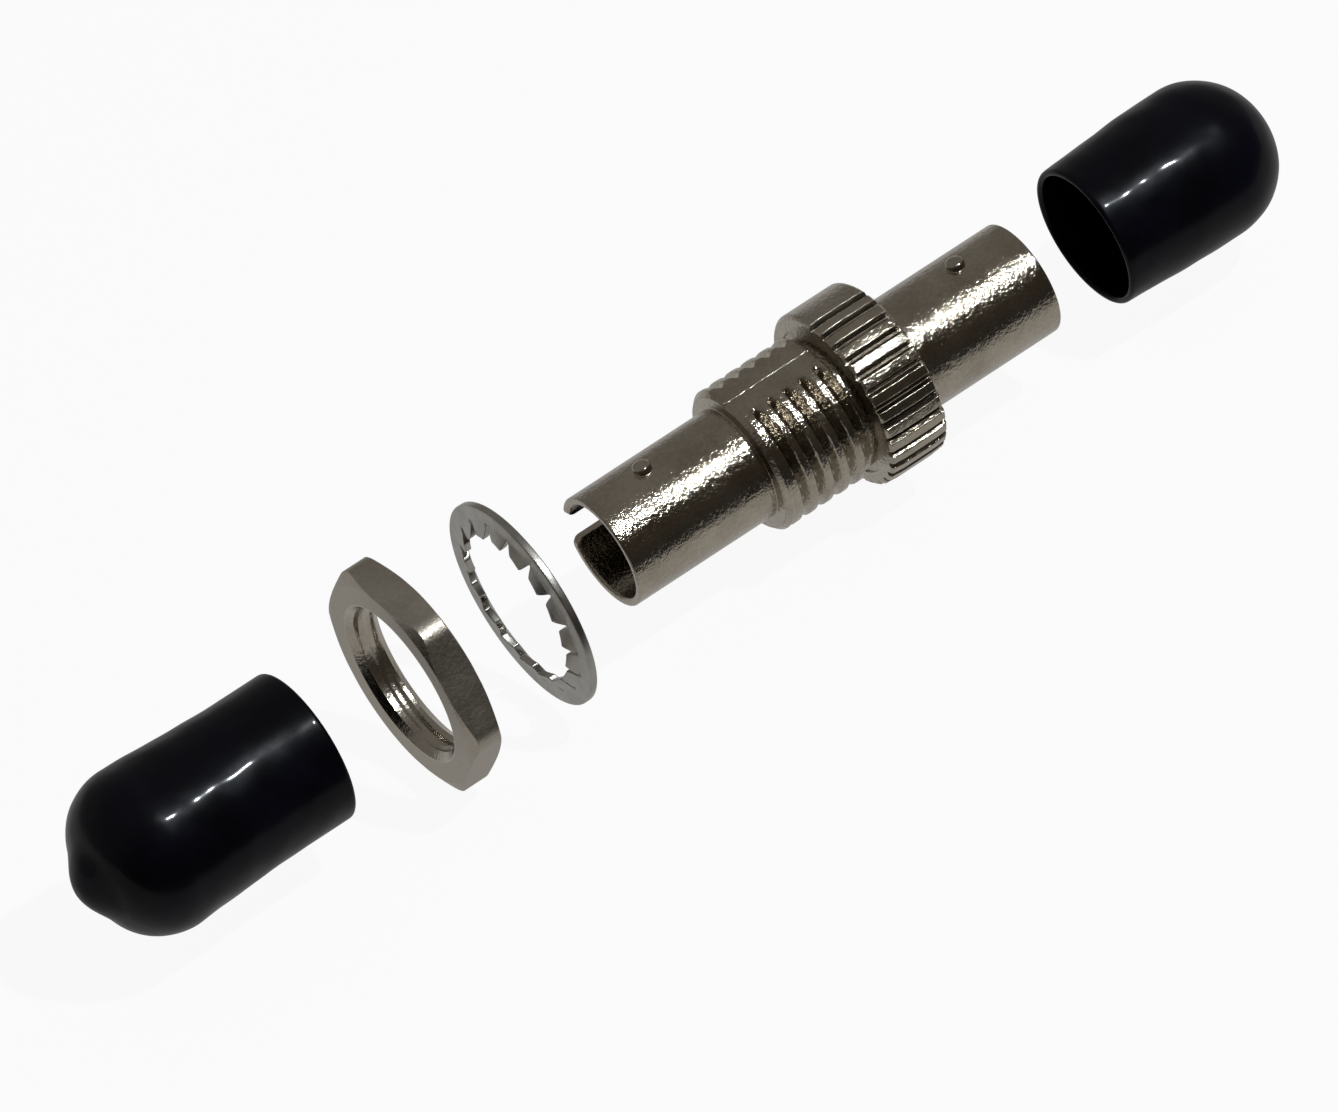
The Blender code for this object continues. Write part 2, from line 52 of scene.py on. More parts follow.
SLOT_EDGE_ROUND = 0.1
SLOT_CORNER_ROUND = 0.55
SLOT_ANGLE = 1.5 * math.pi
LUG_RADIUS = 0.55
LUG_RISE = 0.43
LUG_FILLET = 0.06
LUG_TOP_ROUND = (0.36, 0.24)
LUG_CROWN = ((0.12, 0.008), (0.05, 0.0))
LUG_CROWN_RISE = 0.02
LUG_BURIED = 0.15
LUG_FROM_MOUTH = 3.85
WEB_HOLE_RADIUS = 2.3
FRONT_MOUTH_X = -16.2
FRONT_SHOULDER_X = -6.6
FRONT_WEB = (-8.15, -7.35)
TUBE_REAR_X = 0.65
TUBE_COLUMNS = 376
CLOSER_AT_SLOT = 0.3
CORNER_CUT = 0.06
THREAD_RADIUS = 4.5
THREAD_ROOT_RADIUS = 4.14
THREAD_PITCH = 1.1
THREAD_START_BEVEL = 0.3
THREAD_ROWS = 130
CREST_END = (0.30, 0.52)
CREST_END_HEIGHT = 4.36
GROOVE_HALF_WIDTH = 0.32
GROOVE_ROOT_RADIUS = 3.98
FIRST_GROOVE_FROM_SHOULDER = 1.25
FIRST_GROOVE_ANGLE = math.radians(70)
GROOVE_STARTS_OVER = (0.35, 0.8)
GROOVE_SHARP_SHARE = 0.95
RELIEF_X = -0.6
RELIEF_RAMP = (-0.1, 0.06)
RELIEF_LENGTH = 0.3
FLAT_HEIGHT = 4.2
PARTING_LINE_WIDTH = 0.12
PARTING_LINE_HEIGHT = 0.075
PARTING_LINE_SWELL = 0.28
PARTING_LINE_WANDER = (0.012, 0.006)


def smooth(value, low, high):
    """Rises from 0 at low to 1 at high along 3 t^2 - 2 t^3."""
    t = np.clip((value - low) / (high - low), 0, 1)
    return t * t * (3 - 2 * t)


def softened(corners, cut, closed=True, steps=4):
    """An outline of (x, radius) points whose corners P become (1-s)^2 A + 2 s (1-s) P + s^2 B.

    A and B lie the cut before and after P. An open outline keeps its two end points.
    """
    corners = np.array(corners, float)
    cut = np.broadcast_to(np.asarray(cut, float), len(corners))[:, None]
    before = np.roll(corners, 1, axis=0) - corners
    after = np.roll(corners, -1, axis=0) - corners
    start = corners + before / np.linalg.norm(before, axis=1, keepdims=True) * cut
    end = corners + after / np.linalg.norm(after, axis=1, keepdims=True) * cut
    s = np.linspace(0, 1, steps + 1)[None, :, None]
    curve = (1 - s) ** 2 * start[:, None] + 2 * s * (1 - s) * corners[:, None] + s ** 2 * end[:, None]
    if closed:
        return curve.reshape(-1, 2)
    return np.vstack([corners[:1], curve[1:-1].reshape(-1, 2), corners[-1:]])


def around(x, radius, angle):
    """Points at (x, -radius sin angle, radius cos angle), the three arrays spread over one grid."""
    x, radius, angle = np.broadcast_arrays(x, radius, angle)
    return np.stack([x, -radius * np.sin(angle), radius * np.cos(angle)], axis=-1)


def turn(columns):
    """Evenly spaced angles of a full turn, as one row."""
    return (np.arange(columns) * math.tau / columns)[None, :]


def grid_quads(rows, columns):
    """Quads over a grid of points that closes both ways: each point, the next, and the two below."""
    i = np.arange(rows)[:, None] * columns
    below = np.roll(i, -1, axis=0)
    j = np.arange(columns)[None, :]
    after = np.roll(j, -1, axis=1)
    return np.stack([i + j, i + after, below + after, below + j], axis=-1)


def closed_shell(points, loop=True):
    """A closed skin of quads over a grid of points (rows, columns) that goes round its columns.

    With loop the last row joins the first; without it a fan to the mean of each end row closes it.
    """
    rows, columns = points.shape[:2]
    quads = grid_quads(rows, columns)
    if not loop:
        quads = quads[:-1]
    vertices = points.reshape(-1, 3)
    faces = quads.reshape(-1, 4).tolist()
    if not loop:
        poles = np.stack([points[0].mean(axis=0), points[-1].mean(axis=0)])
        vertices = np.vstack([vertices, poles])
        first, last = rows * columns, rows * columns + 1
        ring = np.arange(columns)
        step = (ring + 1) % columns
        base = (rows - 1) * columns
        faces += np.stack([step, ring, np.full(columns, first)], axis=-1).tolist()
        faces += np.stack([base + ring, base + step, np.full(columns, last)], axis=-1).tolist()
    return vertices, faces


def slotted_shell(points, slot_rows):
    """A looped skin whose seam stands open as a slot over its first and last slot_rows rows.

    Row k outside and row k from the end inside face each other, and quads between them wall the slot.
    """
    rows, columns = points.shape[:2]
    keep = np.ones((rows, columns), bool)
    keep[:slot_rows, -1] = False
    keep[rows - 1 - slot_rows:, -1] = False
    k = np.arange(slot_rows)
    outer, inner = k * columns, (rows - 1 - k) * columns
    last = columns - 1
    near = np.stack([outer, outer + columns, inner - columns, inner], axis=-1)
    far = np.stack([outer + columns, outer, inner, inner - columns], axis=-1) + last
    end_outer, end_inner = slot_rows * columns, (rows - 1 - slot_rows) * columns
    end = [[end_outer, end_outer + last, end_inner + last, end_inner]]
    faces = grid_quads(rows, columns)[keep].tolist() + near.tolist() + far.tolist() + end
    return points.reshape(-1, 3), faces


def volume(vertices, faces):
    """Signed volume: the sum over each face's triangles of a . (b x c) / 6."""
    total = 0.0
    for size in (3, 4):
        group = np.array([face for face in faces if len(face) == size], int).reshape(-1, size)
        for k in range(1, size - 1):
            a, b, c = vertices[group[:, 0]], vertices[group[:, k]], vertices[group[:, k + 1]]
            total += np.einsum("ij,ij->", a, np.cross(b, c)) / 6
    return total


def add_piece(name, shells, finish, body, slot, *nodes, sharp=38):
    """One object of closed shells, faces outwards, riding on its body in place of its CAD nodes."""
    vertices, faces, count = [], [], 0
    for points, quads in shells:
        flip = volume(points, quads) < 0
        faces += [[count + v for v in (face[::-1] if flip else face)] for face in quads]
        vertices.append(points)
        count += len(points)
    mesh = bpy.data.meshes.new(name)
    mesh.from_pydata((np.vstack(vertices) * MM).tolist(), [], faces)
    mesh.update()
    mesh.shade_smooth()
    mesh.set_sharp_from_angle(angle=math.radians(sharp))
    mesh.materials.append(finish)
    piece = bpy.data.objects.new(name, mesh)
    bpy.context.scene.collection.objects.link(piece)
    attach(piece, body)
    if nodes:
        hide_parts(*nodes)


def port_rows():
    """Rows of a port from its rim to the end of its key slot: depth, radius and the slot's half width.

    First come the outside's, then the inside's.

    The rim is a quarter round on each side. The slot's half width is its own plus
    c (1 - sqrt(1 - (1 - depth / c)^2)) up to the depth c of its rounded corners, and past the
    straight run it falls as a quarter circle: depth = length - half + half sin u, width = half cos u.
    """
    t = np.linspace(0, math.pi / 2, RIM_STEPS)
    straight = np.concatenate([
        np.linspace(1.3 * RIM_ROUND_INSIDE, SLOT_CORNER_ROUND, 8),
        np.linspace(SLOT_CORNER_ROUND, SLOT_LENGTH - SLOT_HALF_WIDTH, 8)[1:],
    ])
    u = np.linspace(0, math.pi / 2, 15)[1:]
    far = np.concatenate([straight, SLOT_LENGTH - SLOT_HALF_WIDTH + SLOT_HALF_WIDTH * np.sin(u)])

    def side(radius, rim, sign):
        depth = np.concatenate([rim * (1 - np.cos(t)), far])
        edge = radius - sign * rim * (1 - np.sin(t))
        corner = np.clip(1 - depth / SLOT_CORNER_ROUND, 0, 1)
        width = SLOT_HALF_WIDTH + SLOT_CORNER_ROUND * (1 - np.sqrt(1 - corner ** 2))
        width[-len(u):] = SLOT_HALF_WIDTH * np.cos(u)
        return np.stack([depth, np.concatenate([edge, np.full(len(far), radius)]), width], axis=-1)

    return side(BARREL_RADIUS, RIM_ROUND_OUTSIDE, 1), side(BORE_RADIUS, RIM_ROUND_INSIDE, -1)


def port_tube(mouth_x, inward, outer_rest, inner_rest, relief=None):
    """A barrel's skin with its key slot: outside from the rim, the far end, and back inside to the rim.

    Each row's angles run from one slot edge round to the other, so a row of half width w starts
    at asin(w / radius) from the slot's middle. They go by t - c sin(2 pi t) / 2 pi, which sets them
    closer at the slot. relief(x, radius, angle) cuts the outside's far part.
    """
    outside, inside = port_rows()

    def placed(side):
        return np.stack([mouth_x + inward * side[:, 0], side[:, 1]], axis=-1)

    rows = np.vstack([placed(outside), outer_rest, inner_rest, placed(inside)[::-1]])
    rest = len(outer_rest) + len(inner_rest)
    half = np.concatenate([outside[:, 2], np.zeros(rest), inside[::-1, 2]])[:, None]
    x, radius = rows[:, :1], rows[:, 1:]
    spread = math.tau / TUBE_COLUMNS
    edge = np.maximum(np.arcsin(half / radius), spread / 2)
    t = np.linspace(0, 1, TUBE_COLUMNS)[None, :]
    share = t - CLOSER_AT_SLOT * np.sin(math.tau * t) / math.tau
    angle = SLOT_ANGLE + edge + (math.tau - 2 * edge) * share
    from_edge = radius * np.minimum(angle - SLOT_ANGLE - edge, SLOT_ANGLE + math.tau - edge - angle)
    into_round = np.clip(SLOT_EDGE_ROUND - from_edge, 0, SLOT_EDGE_ROUND)
    dip = SLOT_EDGE_ROUND - np.sqrt(SLOT_EDGE_ROUND ** 2 - into_round ** 2)
    dip = dip * smooth(half, 0, 0.3 * SLOT_HALF_WIDTH)
    outward = np.concatenate([np.ones(len(outside)), np.zeros(rest), -np.ones(len(inside))])[:, None]
    radius = radius - dip * outward
    if relief:
        first = len(outside)
        last = first + len(outer_rest)
        radius[first:last] = relief(x[first:last], radius[first:last], angle[first:last])
    return slotted_shell(around(x, radius, angle), len(outside) - 1)


def lug(centre_x, side):
    """A round lug: rings of radius rho at height h, a small fillet at its foot and a domed top.

    The top's edge is a quarter ellipse. The foot follows the barrel, z = sqrt(R^2 - y^2).
    """
    t = np.linspace(0, math.pi / 2, 9)
    across, down = LUG_TOP_ROUND
    foot = np.stack([LUG_RADIUS + LUG_FILLET * (1 - np.sin(t)), LUG_FILLET * (1 - np.cos(t))], axis=-1)
    top = np.stack([
        LUG_RADIUS - across * (1 - np.cos(t)), LUG_RISE - LUG_CROWN_RISE - down * (1 - np.sin(t)),
    ], axis=-1)
    dome = np.array([(rho, LUG_RISE - drop) for rho, drop in LUG_CROWN])
    buried = np.array([[LUG_RADIUS + LUG_FILLET, -LUG_BURIED]])
    rings = np.vstack([buried, foot, top, dome])
    rho, height = rings[:, :1], rings[:, 1:]
    angle = turn(56)
    x = centre_x + rho * np.cos(angle)
    y = rho * np.sin(angle)
    lie = np.sqrt(BARREL_RADIUS ** 2 - y ** 2) - BARREL_RADIUS
    z = BARREL_RADIUS + height + (1 - np.clip(height / LUG_RISE, 0, 1)) * lie
    points = np.stack([x, y * side, z * side], axis=-1)
    return closed_shell(points, loop=False)


def thread_relief(x, radius, angle):
    """The thread on the outside: broad flattened crests, narrow roots between them, and the flat.

    The phase is (x - first groove) / pitch - angle / turn; a groove is deepest where it is whole,
    and its depth falls with the distance f from there as 1 - f / half width, but for a small share
    that falls as 1 - sin(pi f). It runs out short of the flat. Over the flat the radius is
    height / cos(angle). Next to the flange the thread ends in a groove down to its roots.
    """
    first = FRONT_SHOULDER_X + FIRST_GROOVE_FROM_SHOULDER
    phase = (x - first) / THREAD_PITCH - (angle - FIRST_GROOVE_ANGLE) / math.tau
    from_groove = np.abs(phase - np.round(phase))
    groove = GROOVE_SHARP_SHARE * np.clip(1 - from_groove / GROOVE_HALF_WIDTH, 0, 1)
    groove = groove + (1 - GROOVE_SHARP_SHARE) * (1 - np.sin(math.pi * from_groove))
    groove = groove * smooth(x - FRONT_SHOULDER_X, *GROOVE_STARTS_OVER)
    from_flat = np.abs((angle + math.pi) % math.tau - math.pi)
    root = CREST_END_HEIGHT - (CREST_END_HEIGHT - GROOVE_ROOT_RADIUS) * smooth(from_flat, *CREST_END)
    cut = THREAD_RADIUS - (THREAD_RADIUS - root) * groove
    relief_depth = THREAD_RADIUS - THREAD_ROOT_RADIUS
    cut = np.minimum(cut, THREAD_RADIUS - relief_depth * smooth(x - RELIEF_X, *RELIEF_RAMP))
    level = FLAT_HEIGHT / np.cos(np.clip(from_flat, 0, 0.6))
    threaded = x < RELIEF_X + RELIEF_LENGTH
    shaped = np.where(threaded, np.minimum(radius, cut), radius)
    return np.minimum(shaped, level)


def parting_line():
    """The flash where the die halves met: a low ridge along the flat, half a sine across.

    Its height and its place wander a little, by sines of x.
    """
    x = np.linspace(FRONT_SHOULDER_X + 0.1, RELIEF_X, 150)[:, None]
    across = np.linspace(-1, 1, 9)[None, :]
    swell = 1 - PARTING_LINE_SWELL + PARTING_LINE_SWELL * np.sin(x * 9.0) * np.sin(x * 4.3 + 1)
    wander = PARTING_LINE_WANDER[0] * np.sin(x * 5.1) + PARTING_LINE_WANDER[1] * np.sin(x * 17)
    y = wander + across * PARTING_LINE_WIDTH / 2 + 0 * x
    z = FLAT_HEIGHT - 0.01 + PARTING_LINE_HEIGHT * swell * np.cos(across * math.pi / 2) + 0 * y
    top = np.stack([x + 0 * y, y, z], axis=-1)
    under = np.stack([x + 0 * y, y, 0 * z + FLAT_HEIGHT - 0.05], axis=-1)
    ring = np.concatenate([top, under[:, ::-1]], axis=1)
    return closed_shell(ring, loop=False)


class Wire:
    """One output in a material's nodes. Arithmetic on it adds Math nodes; node() adds any other."""

    def __init__(self, tree, socket=None):
        self.tree = tree
        self.socket = socket

    def node(self, kind, settings=None, inputs=None, output=0):
        """Adds a node: its settings first, then its sockets' values or links."""
        made = self.tree.nodes.new(kind)
        for key, value in (settings or {}).items():
            setattr(made, key, value)
        for key, value in (inputs or {}).items():
            if isinstance(value, Wire):
                self.tree.links.new(value.socket, made.inputs[key])
            else:
                made.inputs[key].default_value = value
        return Wire(self.tree, made.outputs[output])

    def maths(self, operation, first, second):
        return self.node("ShaderNodeMath", {"operation": operation}, {0: first, 1: second})

    def __add__(self, other):
        return self.maths("ADD", self, other)

    def __radd__(self, other):
        return self.maths("ADD", other, self)

    def __sub__(self, other):
        return self.maths("SUBTRACT", self, other)

    def __rsub__(self, other):
        return self.maths("SUBTRACT", other, self)

    def __mul__(self, other):
        return self.maths("MULTIPLY", self, other)

    def __rmul__(self, other):
        return self.maths("MULTIPLY", other, self)

    def noise(self, size_mm, detail=2.0, roughness=0.5):
        """Noise whose blotches are about size_mm across, read at this wire's place."""
        return self.node("ShaderNodeTexNoise", None, {
            "Vector": self, "Scale": 1 / (size_mm * MM), "Detail": detail, "Roughness": roughness,
        })

    def between(self, low, high):
        """0 below low, 1 above high."""
        return self.node("ShaderNodeMapRange", {"clamp": True}, {
            "Value": self, "From Min": low, "From Max": high, "To Min": 0.0, "To Max": 1.0,
        })

    def blend(self, first, second):
        """A colour between two, by this wire: each is red, green and blue, or another wire."""
        first, second = (c if isinstance(c, Wire) else (*c, 1) for c in (first, second))
        return self.node("ShaderNodeMix", {"data_type": "RGBA"}, {0: self, 6: first, 7: second}, output=2)


def new_finish(name, **fixed):
    """A material, its shader with the values that are the same all over, and the wire to build on."""
    material = bpy.data.materials.new(name)
    material.use_nodes = True
    tree = material.node_tree
    shader = tree.nodes["Principled BSDF"]
    for key, value in fixed.items():
        shader.inputs[key.replace("_", " ")].default_value = value
    start = Wire(tree)
    place = start.node("ShaderNodeTexCoord", output=3)

    def feed(key, wire):
        tree.links.new(wire.socket, shader.inputs[key])

    return material, place, feed


BLOTCH_SIZE = 2.4
RIPPLE_SIZE = 0.7
GRAIN_SIZE = 0.24
SPECK_SIZE = 0.1
RADIUS_BLEND = 0.1
HOLLOW_BLEND = 0.1


def plated_metal(name, light, dark, roughness, grain, bore, shift=0.0, painted_shade_and_dulling=None):
    """Nickel plate over a casting: fine grain and pits as bump, blotches of colour and of gloss.

    grain is the bump's height in millimetres. bore is the radius that the bore's own roughness
    reaches out to, and that roughness. shift moves the pattern, in metres. The last argument gives
    the range of radius, the range of x, the colour and the added roughness of hollows: the darker
    colour there is painted shade, standing in for the shade that falls in the hollows, and the added
    roughness dulls them.
    """
    material, place, feed = new_finish(name, Metallic=1.0)
    along = place.node("ShaderNodeSeparateXYZ", None, {"Vector": place})
    across = place.node("ShaderNodeVectorMath", {"operation": "MULTIPLY"}, {0: place, 1: (0.0, 1.0, 1.0)})
    from_axis = across.node("ShaderNodeVectorMath", {"operation": "LENGTH"}, {0: across}, output=1)
    outside = from_axis.between(bore[0] * MM, (bore[0] + RADIUS_BLEND) * MM)
    place = place.node("ShaderNodeMapping", None, {"Vector": place, "Location": (shift, shift, shift)})
    broad = place.noise(BLOTCH_SIZE, 3)
    fine = place.noise(GRAIN_SIZE, 2, 0.55)
    speck = place.noise(SPECK_SIZE, 2, 0.6)
    colour = (broad * 0.6 + fine * 0.4).between(0.36, 0.62).blend(dark, light)
    gloss = roughness - 0.04 + 0.07 * broad.between(0.35, 0.65) + 0.05 * fine
    gloss = bore[1] + outside * (gloss - bore[1])
    # Painted shade: in the hollows the colour is darkened towards the shade colour, standing in for the
    # shade that falls there; the roughness added there makes them duller.
    if painted_shade_and_dulling:
        radii, span, shade, dulling = painted_shade_and_dulling
        deep = 1 - from_axis.between(radii[0] * MM, radii[1] * MM)
        deep = deep * along.between(span[0] * MM, (span[0] + HOLLOW_BLEND) * MM)
        deep = deep * (1 - along.between((span[1] - HOLLOW_BLEND) * MM, span[1] * MM))
        gloss = gloss + deep * dulling
        colour = deep.blend(colour, shade)
    feed("Base Color", colour)
    feed("Roughness", gloss)
    height = fine + speck * 0.3 + place.noise(RIPPLE_SIZE, 2) * 0.4
    feed("Normal", place.node("ShaderNodeBump", None, {
        "Strength": 1.0, "Distance": grain * MM, "Height": height,
    }))
    return material


NICKEL_LIGHT = (0.43, 0.385, 0.315)
NICKEL_DARK = (0.32, 0.28, 0.222)
NICKEL_ROUGHNESS = 0.11
NICKEL_GRAIN = 0.042
PORT_BORE_GLOSS = (3.15, 0.2)
nickel = plated_metal(
    "nickel_plating", NICKEL_LIGHT, NICKEL_DARK, NICKEL_ROUGHNESS, NICKEL_GRAIN, PORT_BORE_GLOSS,
)
thread_x = np.linspace(FRONT_SHOULDER_X + 0.03, RELIEF_X + 0.14, THREAD_ROWS)
shoulder = softened([
    (FRONT_MOUTH_X + SLOT_LENGTH + 0.4, BARREL_RADIUS), (FRONT_SHOULDER_X, BARREL_RADIUS),
    (FRONT_SHOULDER_X, THREAD_RADIUS - THREAD_START_BEVEL),
    (FRONT_SHOULDER_X + 0.02, THREAD_RADIUS - THREAD_START_BEVEL + 0.02),
], [0, CORNER_CUT, 0.05, 0], closed=False)
bevel_radius = THREAD_RADIUS - THREAD_START_BEVEL + (thread_x - FRONT_SHOULDER_X)
thread_rows = np.stack([thread_x, np.minimum(THREAD_RADIUS, bevel_radius)], axis=-1)
tail = np.array([
    [RELIEF_X + 0.25, THREAD_ROOT_RADIUS], [-0.15, THREAD_ROOT_RADIUS],
    [TUBE_REAR_X - 0.05, THREAD_ROOT_RADIUS], [TUBE_REAR_X, THREAD_ROOT_RADIUS - 0.05],
])
front_bore = softened([
    (TUBE_REAR_X, BORE_RADIUS), (FRONT_WEB[1], BORE_RADIUS), (FRONT_WEB[1], WEB_HOLE_RADIUS),
    (FRONT_WEB[0], WEB_HOLE_RADIUS), (FRONT_WEB[0], BORE_RADIUS),
    (FRONT_MOUTH_X + SLOT_LENGTH + 0.4, BORE_RADIUS),
], CORNER_CUT, closed=False)
front_tube = port_tube(
    FRONT_MOUTH_X, 1, np.vstack([shoulder, thread_rows, tail]), front_bore, thread_relief,
)
lug_x = FRONT_MOUTH_X + LUG_FROM_MOUTH
add_piece(
    "housing_barrel_and_thread", [front_tube, lug(lug_x, 1), lug(lug_x, -1), parting_line()],
    nickel, "adapter", "nickel_plating", "housing",
)

# Flange of the housing
# The thick knurled collar that seats on the panel, cast with the barrel and the thread.
# Straight grooves run across its rim, but for a plain quarter turn between the flat and the key slot.
FLANGE_RADIUS = 5.5
FLANGE_WIDTH = 3.9
FLANGE_BEVEL = 0.2
SEAT_INNER_RADIUS = 4.6
SEAT_RELIEF = 0.1
STEM_BORE_RADIUS = 4.15
KNURL_PITCHES = 32
KNURL_GROOVES = 25
KNURL_DEPTH = 0.36
KNURL_MOUTH = 0.5
KNURL_FLOOR = 0.22
KNURL_EDGE_ROUND = 0.05
LAND_END_DROP = 0.05
LAND_DROPS_WITHIN = 0.9
ARC_MARGIN = 0.001
FLANGE_OVERLAP = 0.2
KNURL_ROUGHNESS = 0.13
KNURL_GRAIN = 0.046
# Painted shade: the knurl's grooves are coloured darker, below the land by the depths given and short of
# both faces, in place of the shade that falls in them; the dulling is added roughness.
GROOVE_PAINTED_SHADE = (0.1, 0.085, 0.066)
GROOVE_DULLING = 0.2
GROOVE_DARK_BELOW = (0.3, 0.1)
GROOVE_DARK_FROM_FACE = 0.15


def flange_shell():
    """A collar with grooves cut into its rim: radius is the least of its outline's and of the knurl's.

    A pitch of the knurl is a softened outline of (arc, depth) from the groove's middle to the land's,
    and its columns stand at the outline's own points. Towards both faces the lands drop a little.
    """
    embedded = THREAD_ROOT_RADIUS - FLANGE_OVERLAP
    rim = FLANGE_RADIUS - FLANGE_BEVEL
    side = softened([
        (0, SEAT_INNER_RADIUS), (0, rim), (FLANGE_BEVEL, FLANGE_RADIUS), (FLANGE_WIDTH / 2, FLANGE_RADIUS),
    ], [0, 0.06, 0.1, 0], closed=False, steps=7)
    mirrored = side[::-1] * [-1, 1] + [FLANGE_WIDTH, 0]
    mirrored = np.vstack([mirrored[1:-1], softened([
        (FLANGE_WIDTH, SEAT_INNER_RADIUS), (FLANGE_WIDTH, STEM_BORE_RADIUS),
        (TUBE_REAR_X, STEM_BORE_RADIUS),
    ], CORNER_CUT, closed=False)])
    middle = np.linspace(0.5, FLANGE_WIDTH - 0.5, 12)
    rows = np.vstack([
        [(SEAT_RELIEF, embedded), (SEAT_RELIEF, SEAT_INNER_RADIUS)], side[:-1],
        np.stack([middle, np.full(len(middle), FLANGE_RADIUS)], axis=-1), mirrored,
        [(TUBE_REAR_X, embedded)],
    ])
    pitch = math.tau / KNURL_PITCHES
    half_pitch = pitch * FLANGE_RADIUS / 2
    cut = [0, KNURL_EDGE_ROUND, KNURL_EDGE_ROUND, 0]
    profile = softened([
        (0, KNURL_DEPTH), (KNURL_FLOOR / 2, KNURL_DEPTH), (KNURL_MOUTH / 2, 0), (half_pitch, 0),
    ], cut, closed=False)
    land = np.linspace(profile[-2, 0], half_pitch, 6)[1:-1]
    arcs = np.concatenate([profile[:-1, 0], land])
    offsets = np.concatenate([-arcs[:0:-1], arcs, [half_pitch]]) / FLANGE_RADIUS
    angle = (np.arange(KNURL_PITCHES)[:, None] * pitch + offsets[None, :]).reshape(1, -1)
    nearest = np.clip(np.round((angle - 1e-9) / pitch), 0, KNURL_GROOVES - 1) * pitch
    arc = np.minimum(np.abs(angle - nearest), np.abs(math.tau - angle)) * FLANGE_RADIUS
    x, radius = rows[:, :1], rows[:, 1:]
    groove = np.interp(arc, profile[:, 0], profile[:, 1])
    from_face = np.minimum(x, FLANGE_WIDTH - x)
    knurled_arc = arc < half_pitch + ARC_MARGIN
    drop = LAND_END_DROP * (1 - smooth(from_face, FLANGE_BEVEL, LAND_DROPS_WITHIN)) * knurled_arc
    radius = np.where(radius > rim - 0.12, np.minimum(radius, FLANGE_RADIUS - groove - drop), radius)
    return closed_shell(around(x, radius, angle))


groove_radii = tuple(FLANGE_RADIUS - depth for depth in GROOVE_DARK_BELOW)
groove_span = (GROOVE_DARK_FROM_FACE, FLANGE_WIDTH - GROOVE_DARK_FROM_FACE)
# Painted shade in the knurl's grooves, with duller roughness there.
knurled = plated_metal(
    "nickel_plating_knurled", NICKEL_LIGHT, NICKEL_DARK, KNURL_ROUGHNESS, KNURL_GRAIN, PORT_BORE_GLOSS,
    painted_shade_and_dulling=(groove_radii, groove_span, GROOVE_PAINTED_SHADE, GROOVE_DULLING),
)
add_piece("housing_flange", [flange_shell()], knurled, "adapter", "nickel_plating", "housing", sharp=40)

# Rear barrel
# The other port, cast and plated like the housing, its stem pressed into the flange's bore.
# Its rim, key slot and lugs are the same as the front port's.
REAR_MOUTH_X = 13.5
STEM_RADIUS = 4.1
STEM_FRONT_X = 0.7
REAR_WEB = (4.65, 5.45)
rear_outer = softened([
    (REAR_MOUTH_X - SLOT_LENGTH - 0.4, BARREL_RADIUS), (FLANGE_WIDTH, BARREL_RADIUS),
    (FLANGE_WIDTH, STEM_RADIUS), (STEM_FRONT_X, STEM_RADIUS), (STEM_FRONT_X, BORE_RADIUS + 0.3),
], CORNER_CUT, closed=False)
rear_bore = softened([
    (STEM_FRONT_X, BORE_RADIUS), (REAR_WEB[0], BORE_RADIUS), (REAR_WEB[0], WEB_HOLE_RADIUS),
    (REAR_WEB[1], WEB_HOLE_RADIUS), (REAR_WEB[1], BORE_RADIUS),
    (REAR_MOUTH_X - SLOT_LENGTH - 0.4, BORE_RADIUS),
], CORNER_CUT, closed=False)
rear_tube = port_tube(REAR_MOUTH_X, -1, rear_outer, rear_bore)
lug_x = REAR_MOUTH_X - LUG_FROM_MOUTH
add_piece(
    "rear_port_barrel", [rear_tube, lug(lug_x, 1), lug(lug_x, -1)],
    nickel, "adapter", "nickel_plating", "rear_barrel",
)

# Sleeve holders and alignment sleeve
# Two turned bronze halves make a cage round the split ceramic sleeve, which lines up the ferrules.
# Each half's nose stands through the web into its port; the sleeve floats in the cage.
MIDDLE_X = -1.35
HOLDER_RADIUS = 2.95
HOLDER_HALF = 5.9
HOLDER_SPLIT = 0.05
NOSE_RADIUS = 2.25
NOSE_TIP = 7.3
NOSE_LEAD_IN = 0.5
POCKET_RADIUS = 1.65
POCKET_HALF = 5.8
FERRULE_HOLE_RADIUS = 1.3
SLEEVE_RADII = (1.25, 1.6)
SLEEVE_HALF = 5.7
SLEEVE_SLIT = 0.4
HOLDER_ROUND = 0.08


def turned_metal(name, light, dark, roughness):
    """A turned surface: rings as fine bump by a wave that follows the radius, and blotches of colour."""
    material, place, feed = new_finish(name, Metallic=1.0)
    ring = place.node("ShaderNodeTexNoise", {"noise_dimensions": "1D"}, {
        "W": place.node("ShaderNodeVectorMath", {"operation": "LENGTH"}, {0: place}, output=1),
        "Scale": 1 / (0.05 * MM), "Detail": 2.0,
    })
    blotch = place.noise(0.8, 3)
    feed("Base Color", blotch.between(0.3, 0.7).blend(dark, light))
    feed("Roughness", roughness - 0.05 + 0.1 * blotch)
    feed("Normal", place.node("ShaderNodeBump", None, {
        "Strength": 0.6, "Distance": 0.008 * MM, "Height": ring + blotch * 0.5,
    }))
    return material


